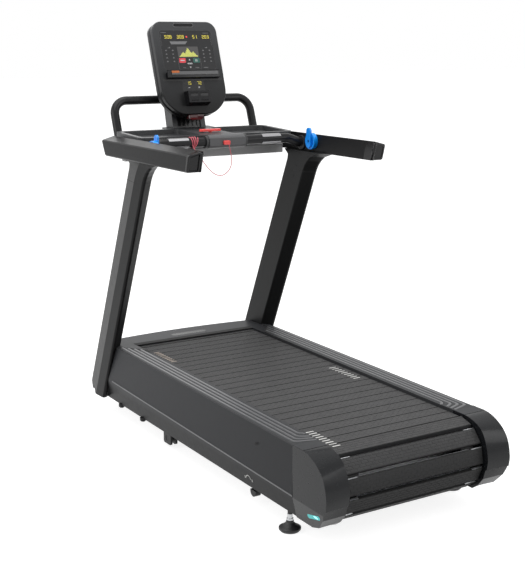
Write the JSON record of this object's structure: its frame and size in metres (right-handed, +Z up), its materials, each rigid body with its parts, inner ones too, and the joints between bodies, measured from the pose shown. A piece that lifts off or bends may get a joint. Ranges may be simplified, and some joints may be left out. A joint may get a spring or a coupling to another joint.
{
  "type": "motorised slat-belt treadmill",
  "caption": "Flat motorised treadmill with a rubber slat belt on drums, raked uprights, long arms, grip bar with pulse plates, tray, hoop and tilted console.",
  "frame": {"origin": "on the floor under the middle of the bounding box", "axes": "+X to the runner's right, +Y forward to the console, +Z up"},
  "size_m": [0.836, 1.7862, 1.6279],
  "materials": {
    "frame_black": "black powder coat",
    "shell_grey": "charcoal satin paint",
    "cover_grey": "grey moulded ABS, satin",
    "cap_dark": "dark satin moulding",
    "rail_grip": "grey ribbed extrusion",
    "tread_rubber": "studded tread rubber",
    "loop_rubber": "reinforced belt rubber",
    "slat_alloy": "extruded alloy",
    "steel": "bare steel",
    "zinc": "zinc plate",
    "iron": "painted casting",
    "black_plastic": "black moulding",
    "gloss_black": "gloss black",
    "display": "dark window",
    "sensor_steel": "sensor plate",
    "red_plastic": "red moulding",
    "blue_plastic": "blue moulding",
    "grey_plastic": "grey moulding",
    "light_lens": "teal light lens",
    "wheel_rubber": "hard wheel rubber",
    "cord_fabric": "red woven cord"
  },
  "bodies": {
    "machine": {"slat_treads": "tread_rubber", "slat_carriers": "slat_alloy", "belt_loops": "loop_rubber", "drive_motor": "iron", "drive_belt": "loop_rubber", "base_frame": "frame_black", "roller_plates": "zinc", "support_rollers": "black_plastic", "axle_bearings": "iron", "motor_controller": "slat_alloy", "upright_right": "shell_grey", "upright_left": "shell_grey", "side_cover_right": "cover_grey", "side_cover_left": "cover_grey", "foot_rail_right": "rail_grip", "foot_rail_left": "rail_grip", "rear_cap_right": "cap_dark", "rear_cap_left": "cap_dark", "status_lights": "light_lens", "front_cover": "cover_grey", "arm_right": "shell_grey", "arm_left": "shell_grey", "arm_end_caps": "gloss_black", "cross_beam": "frame_black", "console_tray": "black_plastic", "grip_bar": "frame_black", "grip_mounts": "black_plastic", "pulse_sensors": "sensor_steel", "grip_housing": "grey_plastic", "accessory_hoop": "frame_black", "console_neck": "grey_plastic", "console_back": "black_plastic", "console_bezel": "black_plastic", "display_windows": "display", "reading_rack": "gloss_black", "rocker_block": "black_plastic", "frame_bumpers": "black_plastic", "lift_brackets": "zinc", "lift_barrel": "steel", "lanyard_cord": "cord_fabric", "lanyard_wrap": "cord_fabric", "lanyard_clip": "black_plastic"},
    "front_drum": {"front_axle": "steel", "front_pulleys": "iron"},
    "rear_drum": {"rear_axle": "steel", "rear_pulleys": "iron"},
    "motor_rotor": {"motor_pulley": "steel"},
    "lift": {"lift_frame": "frame_black"},
    "lift_wheel_set": {"lift_wheels": "wheel_rubber"},
    "lift_screw": {"lift_rod": "steel"},
    "transport_roller_right": {"transport_wheel_right": "wheel_rubber"},
    "transport_roller_left": {"transport_wheel_left": "wheel_rubber"},
    "foot_right": {"rear_foot_right": "black_plastic"},
    "foot_left": {"rear_foot_left": "black_plastic"},
    "stop_button": {"stop_bar": "red_plastic"},
    "key": {"safety_key": "red_plastic"},
    "thumb_paddle_right": {"paddle_right": "blue_plastic"},
    "thumb_paddle_left": {"paddle_left": "blue_plastic"},
    "rocker_switch_left": {"rocker_left": "grey_plastic"},
    "rocker_switch_right": {"rocker_right": "grey_plastic"}
  },
  "joints": [
    {"name": "front_drum_spin", "type": "hinge", "parent": "machine", "child": "front_drum", "pos_m": [0, 0.62541, 0.186], "axis": [1, 0, 0], "continuous": true},
    {"name": "rear_drum_spin", "type": "hinge", "parent": "machine", "child": "rear_drum", "pos_m": [0, -0.742, 0.186], "axis": [1, 0, 0], "continuous": true},
    {"name": "motor_spin", "type": "hinge", "parent": "machine", "child": "motor_rotor", "pos_m": [0, 0.36341, 0.186], "axis": [1, 0, 0], "continuous": true},
    {"name": "lift_swing", "type": "hinge", "parent": "machine", "child": "lift", "pos_m": [0, 0.251, 0.038], "axis": [-1, 0, 0], "range_deg": [0, 14.4]},
    {"name": "lift_wheel_roll", "type": "hinge", "parent": "lift", "child": "lift_wheel_set", "pos_m": [0, 0.725, 0.035], "axis": [1, 0, 0], "continuous": true},
    {"name": "lift_screw_travel", "type": "slide", "parent": "machine", "child": "lift_screw", "axis": [0, 0, -1], "range_m": [0, 0.1305]},
    {"name": "transport_roll_right", "type": "hinge", "parent": "machine", "child": "transport_roller_right", "pos_m": [0.362, 0.822, 0.103], "axis": [1, 0, 0], "continuous": true},
    {"name": "transport_roll_left", "type": "hinge", "parent": "machine", "child": "transport_roller_left", "pos_m": [-0.362, 0.822, 0.103], "axis": [1, 0, 0], "continuous": true},
    {"name": "foot_screw_right", "type": "slide", "parent": "machine", "child": "foot_right", "axis": [0, 0, -1], "range_m": [0, 0.012]},
    {"name": "foot_screw_left", "type": "slide", "parent": "machine", "child": "foot_left", "axis": [0, 0, -1], "range_m": [0, 0.012]},
    {"name": "stop_press", "type": "slide", "parent": "machine", "child": "stop_button", "axis": [0, 0, -1], "range_m": [0, 0.003], "stiffness_N_per_m": 1200, "springref_m": -0.001},
    {"name": "key_pull", "type": "slide", "parent": "machine", "child": "key", "axis": [0, -1, 0], "range_m": [0, 0.015]},
    {"name": "paddle_tilt_right", "type": "hinge", "parent": "machine", "child": "thumb_paddle_right", "pos_m": [0.352, 0.286, 1.157], "axis": [1, 0, 0], "range_deg": [-15, 15], "stiffness_Nm_per_rad": 0.8},
    {"name": "paddle_tilt_left", "type": "hinge", "parent": "machine", "child": "thumb_paddle_left", "pos_m": [-0.352, 0.286, 1.157], "axis": [1, 0, 0], "range_deg": [-15, 15], "stiffness_Nm_per_rad": 0.8},
    {"name": "rocker_tilt_left", "type": "hinge", "parent": "machine", "child": "rocker_switch_left", "pos_m": [-0.023, 0.57949, 1.33002], "axis": [1, 0, 0], "range_deg": [-8, 8], "stiffness_Nm_per_rad": 0.3},
    {"name": "rocker_tilt_right", "type": "hinge", "parent": "machine", "child": "rocker_switch_right", "pos_m": [0.023, 0.57949, 1.33002], "axis": [1, 0, 0], "range_deg": [-8, 8], "stiffness_Nm_per_rad": 0.3}
  ],
  "couplings": [
    {"joint": "rear_drum_spin", "follows": "front_drum_spin", "ratio": 1},
    {"joint": "motor_spin", "follows": "front_drum_spin", "ratio": 2},
    {"joint": "lift_screw_travel", "follows": "lift_swing", "m_per_rad": 0.5182}
  ]
}
